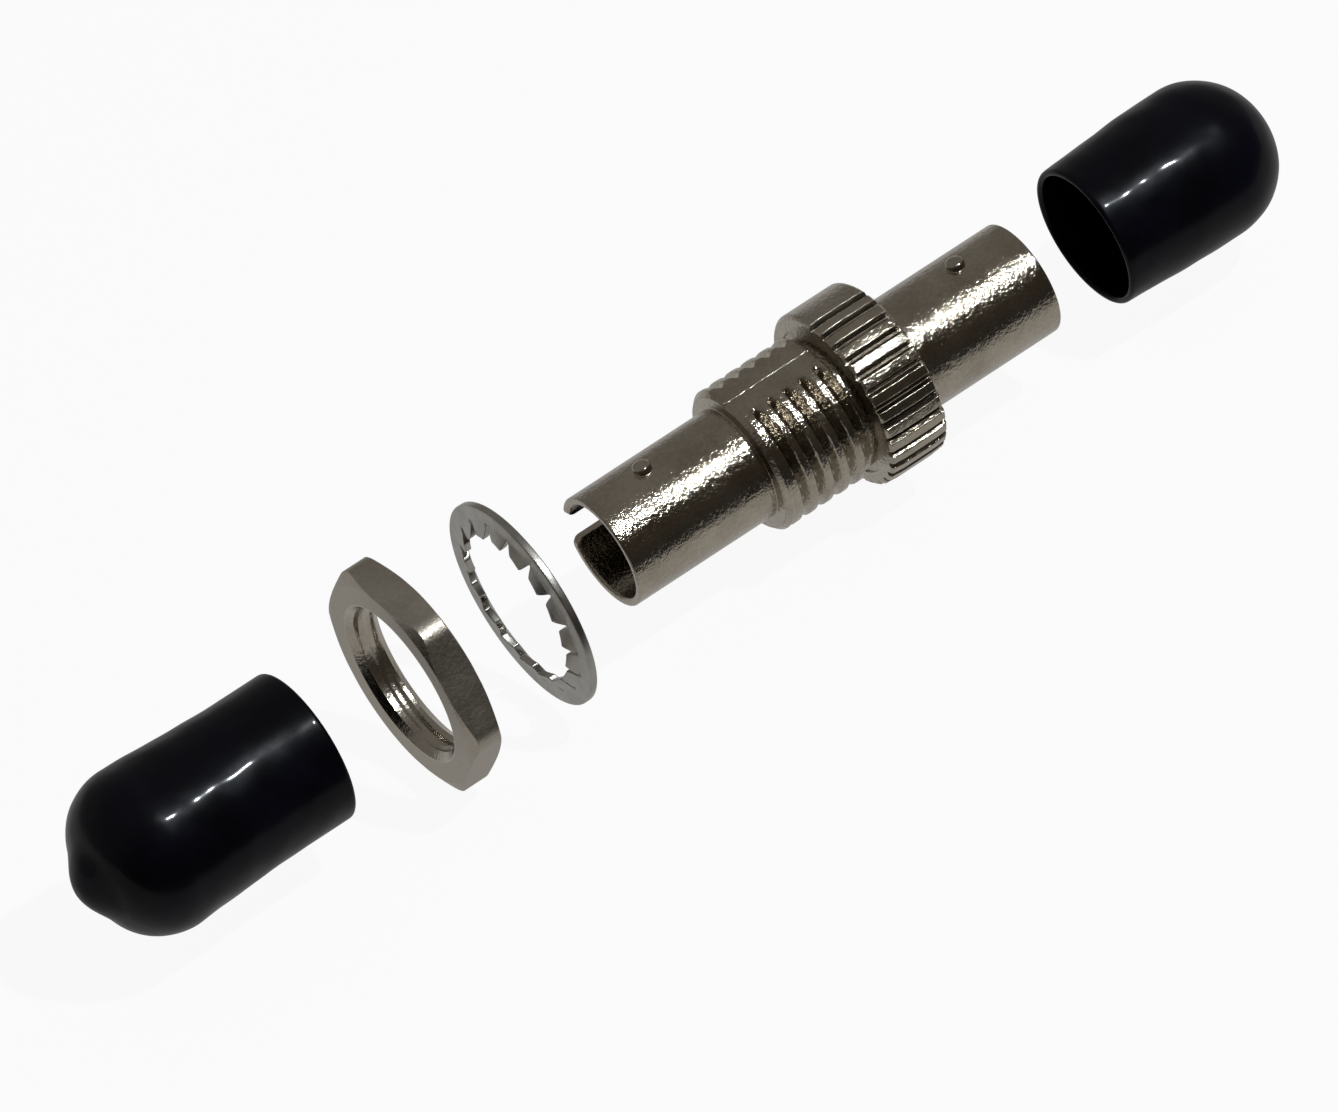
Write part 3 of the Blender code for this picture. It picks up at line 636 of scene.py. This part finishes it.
bronze = turned_metal("turned_bronze", (0.46, 0.36, 0.23), (0.30, 0.22, 0.13), 0.34)
for outward, half_name in ((-1, "front"), (1, "rear")):
    holder_outline = softened([
        (HOLDER_SPLIT, POCKET_RADIUS), (HOLDER_SPLIT, HOLDER_RADIUS), (HOLDER_HALF, HOLDER_RADIUS),
        (HOLDER_HALF, NOSE_RADIUS), (NOSE_TIP, NOSE_RADIUS), (NOSE_TIP, FERRULE_HOLE_RADIUS + NOSE_LEAD_IN),
        (NOSE_TIP - NOSE_LEAD_IN, FERRULE_HOLE_RADIUS), (POCKET_HALF, FERRULE_HOLE_RADIUS),
        (POCKET_HALF, POCKET_RADIUS),
    ], [0.04, HOLDER_ROUND, HOLDER_ROUND, 0.02, 0.12, 0.1, 0.12, 0.04, 0.04], steps=5)
    shell = closed_shell(around(
        MIDDLE_X + outward * holder_outline[:, :1], holder_outline[:, 1:], turn(160),
    ))
    add_piece(
        f"{half_name}_holder_half", [shell], bronze, "adapter", "bronze",
        f"{half_name}_sleeve_holder",
    )

ceramic, ceramic_place, ceramic_feed = new_finish("ground_ceramic", Coat_Weight=0.3)
ceramic_blotch = ceramic_place.noise(0.9, 3)
ceramic_grain = ceramic_place.noise(0.05, 2)
ceramic_feed("Base Color", ceramic_blotch.between(0.3, 0.7).blend((0.74, 0.72, 0.66), (0.83, 0.82, 0.77)))
ceramic_feed("Roughness", 0.22 + 0.12 * ceramic_grain)
ceramic_feed("Normal", ceramic_place.node("ShaderNodeBump", None, {
    "Strength": 0.4, "Distance": 0.003 * MM, "Height": ceramic_grain,
}))


def split_sleeve():
    """A tube with a slit along it: a ring of four rounded edges, carried from one end to the other.

    The angles run from half the slit's angle to a turn less half of it.
    """
    half_slit = SLEEVE_SLIT / 2 / SLEEVE_RADII[1]
    outline = softened([
        (MIDDLE_X - SLEEVE_HALF, SLEEVE_RADII[0]), (MIDDLE_X - SLEEVE_HALF, SLEEVE_RADII[1]),
        (MIDDLE_X + SLEEVE_HALF, SLEEVE_RADII[1]), (MIDDLE_X + SLEEVE_HALF, SLEEVE_RADII[0]),
    ], 0.05)
    angle = np.linspace(half_slit, math.tau - half_slit, 120)[:, None]
    points = around(outline[None, :, 0], outline[None, :, 1], angle)
    return closed_shell(points, loop=False)


add_piece("split_sleeve", [split_sleeve()], ceramic, "adapter", "ceramic", "alignment_sleeve")

# Lock washer
# A ring stamped from spring steel and plated, with teeth on its inside that are bent towards the
# nut and twisted, so that their points bite into it. It lies loose until the nut clamps it.
WASHER_X = (-21.85, -21.40)
WASHER_OUTER_RADIUS = 6.45
WASHER_RING_INNER_RADIUS = 5.4
WASHER_TIP_RADIUS = 4.6
WASHER_TEETH = 17
TOOTH_COLUMNS = 26
TOOTH_BEND_RADIUS = 5.45
TOOTH_BASE_SHARE = 0.94
TOOTH_TIP_HALF_WIDTH = 0.45
TOOTH_DISH = 0.35
TOOTH_TWIST = 0.07
TOOTH_BULGE = 1.7
WASHER_EDGE_ROUND = 0.07


def washer_shell():
    """Front, inner edge, back and outer edge of the washer, as rows of one looped grid.

    The inner edge is at tip + (inner - tip) ((arc - tip width) / (base - tip width))^bulge over a
    tooth and at the ring's inner radius between teeth. A tooth's points move along X by
    (dish + twist * arc / half width there) * (bend - radius) / (bend - tip), from the bend inwards.
    """
    angle = turn(WASHER_TEETH * TOOTH_COLUMNS)
    pitch = math.tau / WASHER_TEETH
    off = (angle + pitch / 2) % pitch - pitch / 2
    base = pitch * TOOTH_BASE_SHARE / 2
    tip = TOOTH_TIP_HALF_WIDTH / WASHER_TIP_RADIUS
    along = np.clip((np.abs(off) - tip) / (base - tip), 0, 1)
    reach = WASHER_RING_INNER_RADIUS - WASHER_TIP_RADIUS
    inner = WASHER_TIP_RADIUS + reach * along ** TOOTH_BULGE
    t = np.linspace(0, math.pi / 2, 4)[:, None]
    e = WASHER_EDGE_ROUND
    share = np.concatenate([np.linspace(0, 0.55, 5), np.linspace(0.62, 1, 9)])[:, None]
    outer_limit = WASHER_OUTER_RADIUS - e
    inner_limit = inner + e
    flat = outer_limit - share * (outer_limit - inner_limit)
    thickness = WASHER_X[1] - WASHER_X[0]
    edge_in = inner_limit - e * np.sin(t)
    ones = np.ones_like(angle)
    edge_out = outer_limit + e * np.sin(t) * ones
    radius = np.vstack([
        flat, edge_in[1:], edge_in[::-1], flat[::-1][1:], edge_out[1:], edge_out[::-1][:-1],
    ])
    depth_flat = np.zeros_like(flat)
    depth_in = e * (1 - np.cos(t)) * ones
    lift = np.vstack([
        depth_flat, depth_in[1:], thickness - depth_in[::-1], thickness + depth_flat[1:],
        thickness - depth_in[1:], depth_in[::-1][:-1],
    ])
    down = np.clip((TOOTH_BEND_RADIUS - radius) / (TOOTH_BEND_RADIUS - WASHER_TIP_RADIUS), 0, 1)
    half_width = base + (tip - base) * down
    lean = down * (TOOTH_DISH + TOOTH_TWIST * np.clip(off / np.maximum(half_width, tip), -1, 1))
    return closed_shell(around(WASHER_X[0] + lift - lean, radius, angle))


steel, steel_place, steel_feed = new_finish("bright_spring_steel", Metallic=1.0)
steel_scratch = steel_place.node("ShaderNodeMapping", None, {
    "Vector": steel_place, "Scale": (4.0, 1.0, 0.35),
})
steel_lines = steel_scratch.noise(0.12, 4, 0.65)
steel_blotch = steel_place.noise(1.1, 3)
steel_tone = (steel_blotch * 0.6 + steel_lines * 0.4).between(0.35, 0.62)
steel_feed("Base Color", steel_tone.blend((0.30, 0.285, 0.255), (0.44, 0.42, 0.385)))
steel_feed("Roughness", 0.24 + 0.1 * steel_blotch + 0.08 * steel_lines)
steel_feed("Normal", steel_place.node("ShaderNodeBump", None, {
    "Strength": 0.9, "Distance": 0.008 * MM, "Height": steel_lines + steel_blotch * 1.5,
}))
add_piece("toothed_washer", [washer_shell()], steel, "washer", "bright_steel", "lock_washer", sharp=50)

# Hex nut
# A thin brass hexagon, plated like the casting, its corners turned down to a bevel on both faces.
# The bore is countersunk and carries the same thread as the housing, cut outwards from its crests.
NUT_X = (-30.15, -28.05)
NUT_FLAT_RADIUS = 6.35
NUT_CORNER_BEVEL = 0.4
NUT_EDGE = 0.04
NUT_EDGE_STEEPNESS = 4
NUT_CORNER_ROUND = 1.5
NUT_BORE_RADIUS = 4.6
NUT_COUNTERSINK = 0.4
NUT_TURN = math.radians(-25)
NUT_THREAD_DEPTH = 0.06
NUT_LIGHT = (0.45, 0.405, 0.34)
NUT_DARK = (0.37, 0.33, 0.27)
NUT_ROUGHNESS = 0.40
NUT_GRAIN = 0.02
NUT_BORE_GLOSS = (5.0, 0.2)


def nut_shell():
    """Outside radius: the least of the hexagon's flat / cos(angle from its middle) and of the bevel's
    flat + depth * slope, from each face, less a small edge that rises more steeply. Bore radius: the
    crest's plus the groove, or the countersink's.

    The hexagon's corners are rounded to a radius r: there the outline is c cos u + sqrt(r^2 -
    c^2 sin^2 u), with u the angle from the corner and c the distance of the rounding's centre.
    """
    corner = NUT_FLAT_RADIUS / math.cos(math.pi / 6)
    slope = (corner - NUT_FLAT_RADIUS) / NUT_CORNER_BEVEL
    angle = turn(540) + NUT_TURN
    sixth = math.pi / 3
    from_middle = (angle - NUT_TURN) % sixth - sixth / 2
    from_corner = sixth / 2 - np.abs(from_middle)
    centre = corner - NUT_CORNER_ROUND / math.cos(math.pi / 6)
    inside_round = np.clip(NUT_CORNER_ROUND ** 2 - (centre * np.sin(from_corner)) ** 2, 0, None)
    rounding = centre * np.cos(from_corner) + np.sqrt(inside_round)
    flat_side = NUT_FLAT_RADIUS / np.cos(from_middle)
    touch = math.atan2(NUT_CORNER_ROUND / 2, centre + NUT_CORNER_ROUND * math.cos(math.pi / 6))
    hexagon = np.where(from_corner < touch, np.minimum(rounding, flat_side), flat_side)
    thickness = NUT_X[1] - NUT_X[0]
    near = np.concatenate([[0, 0.01, 0.025], np.linspace(0.045, 0.56, 20)])
    middle = [0.8, thickness / 2, thickness - 0.8]
    depth = np.concatenate([near, middle, (thickness - near)[::-1]])[:, None]
    least = np.minimum(depth, thickness - depth)
    edge = np.minimum(least * NUT_EDGE_STEEPNESS, NUT_EDGE)
    eased = NUT_FLAT_RADIUS - NUT_EDGE + edge + least * slope
    outside = np.minimum(hexagon, eased)
    face = np.array([5.35, 5.7, 6.0, 6.15])[:, None] + 0 * angle
    mouth = NUT_BORE_RADIUS + NUT_COUNTERSINK
    lip = np.array([0.1, 0.03])[:, None] + mouth + 0 * angle
    bore_depth = np.linspace(thickness - 0.04, 0.04, 68)
    bore_depth = np.concatenate([[thickness - 0.012], bore_depth, [0.012]])[:, None]
    phase = (NUT_X[0] + bore_depth) / THREAD_PITCH - angle / math.tau
    groove = 1 - smooth(np.abs(phase - np.round(phase)), 0.05, 0.36)
    crest = NUT_BORE_RADIUS + NUT_THREAD_DEPTH * groove
    sink = mouth - np.minimum(bore_depth, thickness - bore_depth)
    bore = np.maximum(crest, sink)
    radius = np.vstack([face, outside, face[::-1], lip, bore, lip[::-1]])
    lift = np.concatenate([
        np.zeros(len(face)), depth[:, 0], np.full(len(face) + len(lip), thickness),
        bore_depth[:, 0], np.zeros(len(lip)),
    ])[:, None]
    return closed_shell(around(NUT_X[0] + lift, radius, angle))


nut_metal = plated_metal(
    "nickel_plated_nut", NUT_LIGHT, NUT_DARK, NUT_ROUGHNESS, NUT_GRAIN, NUT_BORE_GLOSS, shift=0.013,
)
add_piece("thin_hex_nut", [nut_shell()], nut_metal, "nut", "nickel_plating", "hex_nut", sharp=24)

# Dust caps
# Soft black vinyl, made by dipping a steel pin: an even wall, a rounded lip at the mouth and a
# domed end with a low nub where the pin was drawn out. They push over the ports.
CAP_WALL = 0.45
CAP_COLUMNS = 192
CAP_LIP = 0.24
CAP_PULL_IN = 0.0135
CAP_OVAL = 0.006
CAP_TWIST = 0.003
CAP_WAVES = (0.0023, 0.0014)
FRONT_CAP = {
    "mouth_x": -36.5, "outward": -1, "length": 15.5, "radius": 4.72,
    "flare": 0.33, "flare_over": (3.0, 13.5), "dome": 3.9, "nub": (2.0, 0.9), "waves_over": (1.5, 6.0),
}
REAR_CAP = {
    "mouth_x": 17.9, "outward": 1, "length": 12.75, "radius": 4.43,
    "flare": 0.32, "flare_over": (-1.0, 7.0), "dome": 4.3, "nub": (1.3, 0.2), "waves_over": (-2.0, -1.0),
}


def cap_shell(mouth_x, outward, length, radius, flare, flare_over, dome, nub, waves_over):
    """A cap from the middle of its inside, round the lip, to the middle of its nub.

    The wall's radius is radius + flare S(depth), S rising over the depths flare_over and brought to
    0 at the mouth and 1 at the shoulder, and the end is a quarter circle. The nub of radius n and
    height h adds h (1 - S(radius / n)) to the depth, S rising from 0.1 n to 1.4 n.

    Dipping leaves it a little oval and wavy: the radius sways by sines of the angle and of x, and
    the waves grow over the depths waves_over. It is drawn in a little, to stay inside the plain form.
    """
    head = radius + flare
    nub_radius, nub_height = nub
    shoulder = length - nub_height - dome
    depth = np.linspace(0.5, shoulder, 40)
    opening = smooth(depth, *flare_over) - smooth(0.0, *flare_over)
    opening = flare * opening / opening[-1]
    turn_in = np.linspace(0, math.pi / 2, 40)[1:]

    def skin(inset):
        wall = radius - inset + opening
        round_off = dome - inset
        end_depth = shoulder + round_off * np.sin(turn_in)
        end_radius = head - dome + round_off * np.cos(turn_in)
        centre = (head - dome) * np.linspace(0.9, 0.05, 9)
        return np.vstack([
            np.stack([depth, wall], axis=-1), np.stack([end_depth, end_radius], axis=-1),
            np.stack([np.full(9, end_depth[-1]), centre], axis=-1),
        ])

    outside, inside = skin(0.0), skin(CAP_WALL)
    rise = nub_height * (1 - smooth(outside[:, 1], 0.1 * nub_radius, 1.4 * nub_radius))
    far = outside[:, 0] > shoulder
    outside[:, 0] += np.where(far, rise, 0)
    t = np.linspace(-math.pi / 2, math.pi / 2, 11)
    lip_radius = radius - CAP_WALL / 2 + CAP_WALL / 2 * np.sin(t)
    lip = np.stack([CAP_LIP - CAP_LIP * np.cos(t), lip_radius], axis=-1)
    rows = np.vstack([inside[::-1], lip, outside])
    angle = turn(CAP_COLUMNS)
    x, ring = rows[:, :1], rows[:, 1:]
    sway = CAP_OVAL * np.sin(2 * angle + 1.1) + CAP_TWIST * np.sin(3 * angle + 0.4 * x) - CAP_PULL_IN
    waves = CAP_WAVES[0] * np.sin(1.7 * x + 3 * angle + 0.7)
    waves = waves + CAP_WAVES[1] * np.sin(2.9 * x - 5 * angle + 2.1)
    sway = sway + waves * smooth(x, *waves_over)
    return closed_shell(around(mouth_x + outward * x, ring * (1 + sway), angle), loop=False)


VINYL_DARK = (0.0016, 0.0016, 0.0024)
VINYL_BLUE = (0.0024, 0.0026, 0.0062)
VINYL_WAVE_HEIGHT = 0.03
vinyl, vinyl_place, vinyl_feed = new_finish(
    "black_vinyl", Specular_IOR_Level=0.06, Coat_Weight=0.12, Coat_Roughness=0.08,
)
vinyl_cloud = vinyl_place.noise(3.0, 3)
vinyl_wave = vinyl_place.noise(2.2, 1)
vinyl_pit = vinyl_place.noise(0.25, 3, 0.6)
vinyl_feed("Base Color", vinyl_cloud.between(0.3, 0.7).blend(VINYL_DARK, VINYL_BLUE))
vinyl_feed("Roughness", 0.28 + 0.08 * vinyl_cloud.between(0.35, 0.7) + 0.05 * vinyl_pit)
vinyl_feed("Normal", vinyl_place.node("ShaderNodeBump", None, {
    "Strength": 1.0, "Distance": VINYL_WAVE_HEIGHT * MM, "Height": vinyl_wave * 3.5 + vinyl_pit * 0.1,
}))
for name, cap, body in (("front", FRONT_CAP, "front_cap"), ("rear", REAR_CAP, "rear_cap")):
    add_piece(f"{name}_vinyl_cap", [cap_shell(**cap)], vinyl, body, "black_vinyl", f"{name}_dust_cap")

# Floor, lamp and camera
# A plain pale floor just under the lowest corner of the nut, one small lamp in front and above that
# draws the bright line along the barrels, and a soft room that is darker in front than overhead.
FLOOR_Z = -7.5
FLOOR_HALF = 2500.0
FLOOR_COLOUR = (0.80, 0.80, 0.80)
FLOOR_ROUGHNESS = 0.9
FLOOR_WHITE_SHARE = 0.93
FLOOR_SEEN_BY_METAL = 0.53
FLOOR_DARK_FROM = (-21.0, -15.0)
FLOOR_DARK_LEVEL = 0.04
KEY_TOWARDS = (0.31, -0.475, 0.823)
KEY_DISTANCE = 560.0
KEY_SIZE = (12.0, 7.0)
KEY_POWER = 1.65
KEY_COLOUR = (0.88, 0.94, 1.0)
ROOM_DARK = (0.056, 0.047, 0.038)
ROOM_LIGHT = (0.235, 0.228, 0.218)
ROOM_LIGHT_TOWARDS = (0.0, 0.8, 0.6)
ROOM_EDGE = (-0.12, 0.3)
AIM = (-11.626, 1.497, -4.32)
CAMERA_DISTANCE = 700.0
CAMERA_AZIMUTH = -24.86
CAMERA_ELEVATION = 39.25
CAMERA_ROLL = -16.85
CAMERA_LENS = 338.86
SENSOR_WIDTH = 36.0

floor_mesh = bpy.data.meshes.new("pale_floor")
half = FLOOR_HALF * MM
level = FLOOR_Z * MM
floor_corners = [(-half, -half, level), (half, -half, level), (half, half, level), (-half, half, level)]
floor_mesh.from_pydata(floor_corners, [], [(0, 1, 2, 3)])
floor = bpy.data.objects.new("pale_floor", floor_mesh)
bpy.context.scene.collection.objects.link(floor)
floor_finish = bpy.data.materials.new("pale_floor")
floor_finish.use_nodes = True
floor_mesh.materials.append(floor_finish)
floor_tree = floor_finish.node_tree
floor_shader = floor_tree.nodes["Principled BSDF"]
floor_shader.inputs["Base Color"].default_value = (*FLOOR_COLOUR, 1)
floor_shader.inputs["Roughness"].default_value = FLOOR_ROUGHNESS
floor_shader.inputs["Specular IOR Level"].default_value = 0.0
start = Wire(floor_tree)
camera_ray = start.node("ShaderNodeLightPath", output="Is Camera Ray")
ray_node = camera_ray.socket.node
glossy_ray = Wire(floor_tree, ray_node.outputs["Is Glossy Ray"])
through_ray = Wire(floor_tree, ray_node.outputs["Is Transmission Ray"])
floor_place = start.node("ShaderNodeTexCoord", output=3)
along_y = start.node("ShaderNodeSeparateXYZ", None, {"Vector": floor_place}, output=1)
far = along_y.between(FLOOR_DARK_FROM[0] * MM, FLOOR_DARK_FROM[1] * MM)
reflected = glossy_ray + through_ray
mirrored_level = FLOOR_DARK_LEVEL + far * (FLOOR_SEEN_BY_METAL - FLOOR_DARK_LEVEL)
white = start.node("ShaderNodeEmission", None, {"Strength": camera_ray + reflected * mirrored_level})
seen = camera_ray * FLOOR_WHITE_SHARE + reflected
mixed = start.node("ShaderNodeMixShader", None, {
    0: seen, 1: Wire(floor_tree, floor_shader.outputs[0]), 2: white,
})
floor_tree.links.new(mixed.socket, floor_tree.nodes["Material Output"].inputs["Surface"])

world = bpy.data.worlds.new("room")
bpy.context.scene.world = world
world.use_nodes = True
room = Wire(world.node_tree)
towards = room.node("ShaderNodeTexCoord", output=0)
height = room.node("ShaderNodeVectorMath", {"operation": "DOT_PRODUCT"}, {
    0: towards, 1: ROOM_LIGHT_TOWARDS,
}, output=1)
sky = height.between(*ROOM_EDGE).blend(ROOM_DARK, ROOM_LIGHT)
world_light = world.node_tree.nodes["Background"]
world.node_tree.links.new(sky.socket, world_light.inputs["Color"])


def add_lamp(name, towards, distance, size, power, colour):
    """A rectangular lamp at a distance from the aim point, facing it, its long side along X."""
    light = bpy.data.lights.new(name, "AREA")
    light.shape = "RECTANGLE"
    light.size, light.size_y = size[0] * MM, size[1] * MM
    light.energy = power
    light.color = colour
    lamp = bpy.data.objects.new(name, light)
    back = Vector(towards).normalized()
    across = Vector((1, 0, 0))
    up = back.cross(across).normalized()
    across = up.cross(back)
    place = (Vector(AIM) + back * distance) * MM
    lamp.matrix_world = Matrix.Translation(place) @ Matrix((across, up, back)).transposed().to_4x4()
    bpy.context.scene.collection.objects.link(lamp)


add_lamp("key_lamp", KEY_TOWARDS, KEY_DISTANCE, KEY_SIZE, KEY_POWER, KEY_COLOUR)

azimuth, elevation = math.radians(CAMERA_AZIMUTH), math.radians(CAMERA_ELEVATION)
back = Vector((
    math.sin(azimuth) * math.cos(elevation), -math.cos(azimuth) * math.cos(elevation), math.sin(elevation),
))
right = Vector((math.cos(azimuth), math.sin(azimuth), 0))
right = Matrix.Rotation(math.radians(CAMERA_ROLL), 3, back) @ right
up = back.cross(right)
camera_data = bpy.data.cameras.new("camera")
camera_data.lens = CAMERA_LENS
camera_data.sensor_width = SENSOR_WIDTH
camera_data.clip_start = 0.01
camera = bpy.data.objects.new("camera", camera_data)
camera.matrix_world = (
    Matrix.Translation((Vector(AIM) + back * CAMERA_DISTANCE) * MM)
    @ Matrix((right, up, back)).transposed().to_4x4()
)
bpy.context.scene.collection.objects.link(camera)
bpy.context.scene.camera = camera
bpy.context.scene.view_settings.view_transform = "Standard"

bpy.context.view_layer.update()
